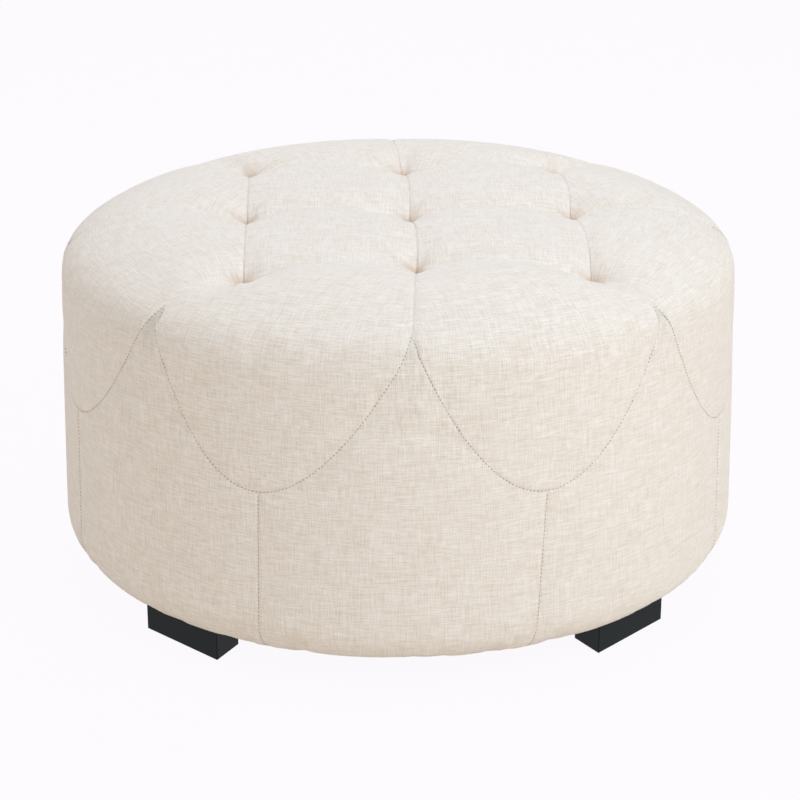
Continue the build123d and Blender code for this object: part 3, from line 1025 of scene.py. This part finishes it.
def stitched(name, lines, finish, length, width, sunk):
    """Stitches along lines of points that each come with their normals."""
    paths = []
    rise = thread_rise * np.array([0, 1, 1, 0]) - sunk
    for line in lines:
        run = running_length(line[:, :3])
        for start in np.arange(stitch_pitch, run[-1] - length, stitch_pitch):
            places = start + np.linspace(0, length, 4)
            spots = np.stack([np.interp(places, run, values) for values in line.T], -1)
            paths.append(spots[:, :3] + rise[:, None] * spots[:, 3:6])
    points, faces = tubes(paths, width * stitch_taper, sides=5)
    closed_piece(name, points, faces, finish)
    print(name, len(paths))


place_and_normal = [0, 1, 2, 5, 6, 7]
for name in petal_names:
    seam = finished["petal_" + name][:, -1][:, place_and_normal]
    stitched("stitches_petal_" + name, [seam], brown_thread, length=2.1, width=0.8, sunk=0.1)
seams = [finished["side_panel_" + name][0][:, place_and_normal] for name in side_names]
stitched("stitches_side_seams", seams, pale_thread, length=2.6, width=0.7, sunk=0.3)

# %% [markdown]
# ## Feet
# The feet are solid wood blocks with a black satin lacquer, sprayed and rubbed, so they show only
# a soft grey sheen. Their CAD shape is right and stays. A faint grain shows through the lacquer.
# IOR 1.5 is typical for lacquer.

# %% Black lacquer
lacquer = new_finish("black_satin_lacquer")
grain = plain_noise(lacquer, size=0.004, detail=4.0, stretch=(1, 1, 0.12))
surface(
    lacquer,
    Base_Color=blend(lacquer, grain, paint("#0A1215"), paint("#141E22")),
    Roughness=ranged(lacquer, grain, 0.0, 1.0, low=0.34, high=0.48),
    Normal=bumped(lacquer, grain, strength=0.15, distance=0.0003),
    IOR=1.5,
    Specular_IOR_Level=0.12,
)


def give(finish, *names):
    """Puts a finish on CAD nodes whose shape stays."""
    for name in names:
        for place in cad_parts[name].material_slots:
            place.material = finish
    print(finish.name, "on", len(names), "nodes")


give(lacquer, *["foot_" + name for name in quarter_names])

# %% [markdown]
# ## Wood, board and steel inside
# Birch plywood shows thin layers at its edges, sawn pine a grain along its length, and hardboard
# a pressed brown fibre. The screws are zinc plated, bright with a cool tint. These nodes keep
# their CAD shapes.

# %% Hidden hard parts
plywood = new_finish("birch_plywood")
figure = plain_noise(plywood, size=0.03, detail=4.0, stretch=(6, 1, 1))
height_in_board = add_node(plywood, "ShaderNodeSeparateXYZ", Vector=in_space(plywood)).outputs[2]
layers = arithmetic(plywood, "PINGPONG", height_in_board, 0.0015)
layer_tone = arithmetic(plywood, "MULTIPLY", ranged(plywood, layers, 0.0006, 0.0009), 0.35)
faces_tone = blend(plywood, figure, paint("#D2B183"), paint("#E6CDA4"))
surface(
    plywood,
    Base_Color=blend(plywood, layer_tone, faces_tone, paint("#A98556")),
    Roughness=0.7,
    Normal=bumped(plywood, figure, strength=0.2, distance=0.0004),
)
give(plywood, "deck", "base_board")

pine = new_finish("sawn_pine")
rings = plain_noise(pine, size=0.008, detail=4.0, stretch=(1, 1, 14))
surface(
    pine,
    Base_Color=blend(pine, rings, paint("#C99F66"), paint("#EBCF9C")),
    Roughness=0.75,
    Normal=bumped(pine, rings, strength=0.4, distance=0.0006),
)
give(pine, *["post_" + name for name in quarter_names])

hardboard = new_finish("brown_hardboard")
pressed = plain_noise(hardboard, size=0.003, detail=5.0)
surface(
    hardboard,
    Base_Color=blend(hardboard, pressed, paint("#6B4A2E"), paint("#8A6543")),
    Roughness=0.6,
    Normal=bumped(hardboard, pressed, strength=0.2, distance=0.0003),
)
give(hardboard, *["side_board_" + name for name in side_names[::2]], "tuft_pads")

zinc = new_finish("zinc_plated_steel")
spangle = plain_noise(zinc, size=0.002, detail=3.0)
surface(
    zinc,
    Base_Color=blend(zinc, spangle, paint("#B9BEC2"), paint("#D6D9D6")),
    Metallic=1.0,
    Roughness=ranged(zinc, spangle, 0.0, 1.0, low=0.28, high=0.45),
)
give(zinc, "foot_screws", "frame_screws")

# %% [markdown]
# ## Dust cover and staples
# The underside is closed with thin black spunbond cloth. It is stapled near its edge, pulls into
# small ripples between the staples and sags a little in the middle. It is a real sheet, 0.6 mm
# thick here.

# %% Dust cover
dust_radius, dust_height, dust_thickness = 358, 35.85, 0.0006
sag_depth, sag_radius, sag_end = 2.2, 318, 320
ripple_depth, ripple_start, ripple_fade = 0.12, 326, 20
staple_count = 72
spunbond = new_finish("black_spunbond_cloth")
specks = plain_noise(spunbond, size=0.0016, detail=3.0)
surface(
    spunbond,
    Base_Color=blend(spunbond, specks, paint("#131313"), paint("#2A2A2A")),
    Roughness=0.85,
    Normal=bumped(spunbond, specks, strength=0.5, distance=0.0004),
)
radii = np.concatenate([np.linspace(2, sag_end, 40), np.linspace(ripple_start, dust_radius, 9)])
around = np.linspace(0, tau, 361)[:-1]
radius, angle = np.meshgrid(radii, around, indexing="ij")
sag = sag_depth * np.clip(1 - (radius / sag_radius) ** 2, 0, 1)
pulled = np.clip((radius - ripple_start) / ripple_fade, 0, 1)
ripple = ripple_depth * np.cos(angle * staple_count) * pulled
height = dust_height - sag - ripple_depth * pulled + ripple
dust_points = np.stack([radius * np.cos(angle), radius * np.sin(angle), height], -1).reshape(-1, 3)
dust_rings = np.arange(radius.size).reshape(radius.shape)
looped = np.concatenate([dust_rings, dust_rings[:, :1]], 1)
dust_faces = [*quads(looped).tolist(), dust_rings[0].tolist()]
dust = closed_piece("dust_cover_cloth", dust_points, dust_faces, spunbond)
thickened(dust, dust_thickness, 0)
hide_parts("dust_cover")
print("dust cover:", len(radii), "rings of", len(around), "points")

# %% Staples
staple_radius, staple_wire = 351, 0.8
foot_room = 68
half_staple = [(0, 34.9), (4.6, 34.95), (5, 35.4), (5, 37.5)]
staple = [(-x, z) for x, z in half_staple[:0:-1]] + half_staple
staples = []
for turn in tau * (np.arange(staple_count) + 0.5) / staple_count:
    from_foot = (turn - pi / 4) % (pi / 2) * staple_radius
    if min(from_foot, pi / 2 * staple_radius - from_foot) < foot_room:
        continue
    centre = staple_radius * np.array([cos(turn), sin(turn), 0])
    side = np.array([-sin(turn), cos(turn), 0])
    staples.append([centre + x * side + [0, 0, z] for x, z in staple])
points, faces = tubes(staples, np.full(len(staple), staple_wire), sides=4)
closed_piece("dust_cover_staples", points, faces, zinc)
print("staples:", len(staples))

# %% [markdown]
# ## Studio floor
# The photograph was taken on white paper and cleaned to white later. The paper below is lit like
# any floor and keeps a share of the shadow, but to the camera and in reflections it mostly glows
# white.

# %% Floor
floor_reach = 6000
glow_share = 0.96
floor_corners = floor_reach * np.array([(-1, -1, 0), (1, -1, 0), (1, 1, 0), (-1, 1, 0)])
floor = linked("studio_floor", mesh_of("studio_floor", floor_corners, [(0, 1, 2, 3)]))


def seen_directly(finish):
    """1 for rays that show the background to the camera, alone or in a reflection."""
    ray = add_node(finish, "ShaderNodeLightPath").outputs
    passed_on = arithmetic(finish, "MAXIMUM", ray["Is Glossy Ray"], ray["Is Transmission Ray"])
    return arithmetic(finish, "MAXIMUM", ray["Is Camera Ray"], passed_on)


paper = new_finish("white_studio_paper")
lit = add_node(paper, "ShaderNodeBsdfDiffuse", Color=paint("#F6ECE0"))
glow = add_node(paper, "ShaderNodeEmission", Color=paint("#FEFCFF"), Strength=1.0)
share = arithmetic(paper, "MULTIPLY", seen_directly(paper), glow_share)
both = add_node(paper, "ShaderNodeMixShader", _0=share, _1=lit.outputs[0], _2=glow.outputs[0])
add_node(paper, "ShaderNodeOutputMaterial", Surface=both.outputs[0])
floor.data.materials.append(paper)
print("paper:", 2 * floor_reach * metres, "metres wide")

# %% [markdown]
# ## Light
# Most light comes from all round, as in a white room. A large soft lamp in front on the right
# makes that side paler, one behind lifts the far side of the puffs, and a weak one on the left
# keeps the shade soft.

# %% Light all round
world = bpy.data.worlds.new("studio_light")
bpy.context.scene.world = world
world.use_nodes = True
world.node_tree.nodes.clear()
ambient = add_node(world, "ShaderNodeBackground", Color=paint("#FFF8F2"), Strength=0.63)
behind = add_node(world, "ShaderNodeBackground", Color=paint("#FEFCFF"), Strength=1.0)
choice = add_node(
    world, "ShaderNodeMixShader",
    _0=seen_directly(world), _1=ambient.outputs[0], _2=behind.outputs[0],
)
add_node(world, "ShaderNodeOutputWorld", Surface=choice.outputs[0])
print("strength of the light all round:", round(ambient.inputs["Strength"].default_value, 2))

# %% Lamps
lamp_aim = Vector((0, 0, 0.25))


def soft_lamp(name, place, size, power, colour):
    """A round lamp that looks at the middle of the drum."""
    lamp = bpy.data.lights.new(name, "AREA")
    lamp.shape = "DISK"
    lamp.size = size
    lamp.energy = power
    lamp.color = paint(colour)[:3]
    holder = linked(name, lamp)
    holder.location = place
    holder.rotation_euler = (lamp_aim - Vector(place)).to_track_quat("-Z", "Y").to_euler()


soft_lamp("key_right", (1.9, -2.0, 2.4), size=1.8, power=41.5, colour="#EDF7FF")
soft_lamp("top_back", (0.3, 1.4, 2.8), size=1.6, power=19, colour="#EAF3FF")
soft_lamp("left_fill", (-2.6, 0.4, 1.2), size=1.4, power=2.2, colour="#FFFFFF")
bpy.context.scene.view_settings.view_transform = "Standard"
